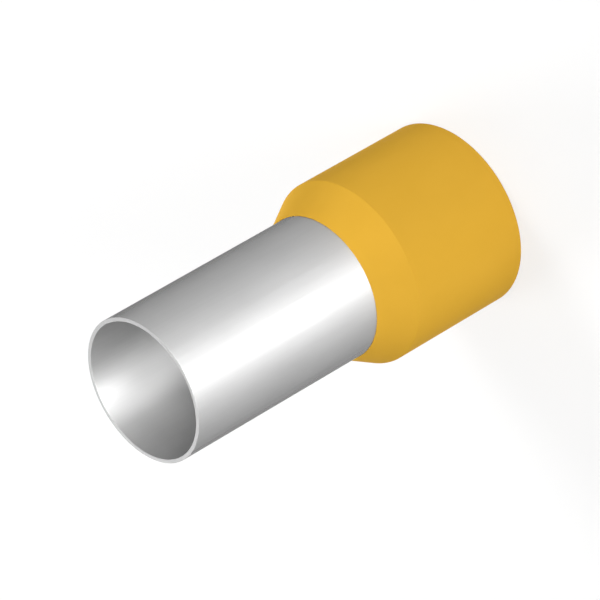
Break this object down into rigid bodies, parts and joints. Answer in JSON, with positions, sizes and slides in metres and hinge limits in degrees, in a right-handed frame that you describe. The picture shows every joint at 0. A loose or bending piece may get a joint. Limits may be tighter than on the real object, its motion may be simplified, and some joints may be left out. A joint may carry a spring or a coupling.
{
  "type": "wire ferrule",
  "caption": "Insulated wire ferrule: a thin metal sleeve open at both ends, its rear flared inside a plastic collar that has a conical nose and a wide entry for the wire.",
  "frame": {"origin": "on the axis, in the plane of the collar's rear rim, on which the ferrule stands", "axes": "+Z along the ferrule's axis, from the collar's rear rim to the sleeve's mouth; X and Y are free, because the part is round"},
  "size_m": [0.0172, 0.0172, 0.037],
  "materials": {
    "tinned_copper": "satin",
    "yellow_plastic": "satin"
  },
  "bodies": {
    "root": {"conductor_sleeve": "tinned_copper", "insulating_collar": "yellow_plastic"}
  },
  "joints": []
}
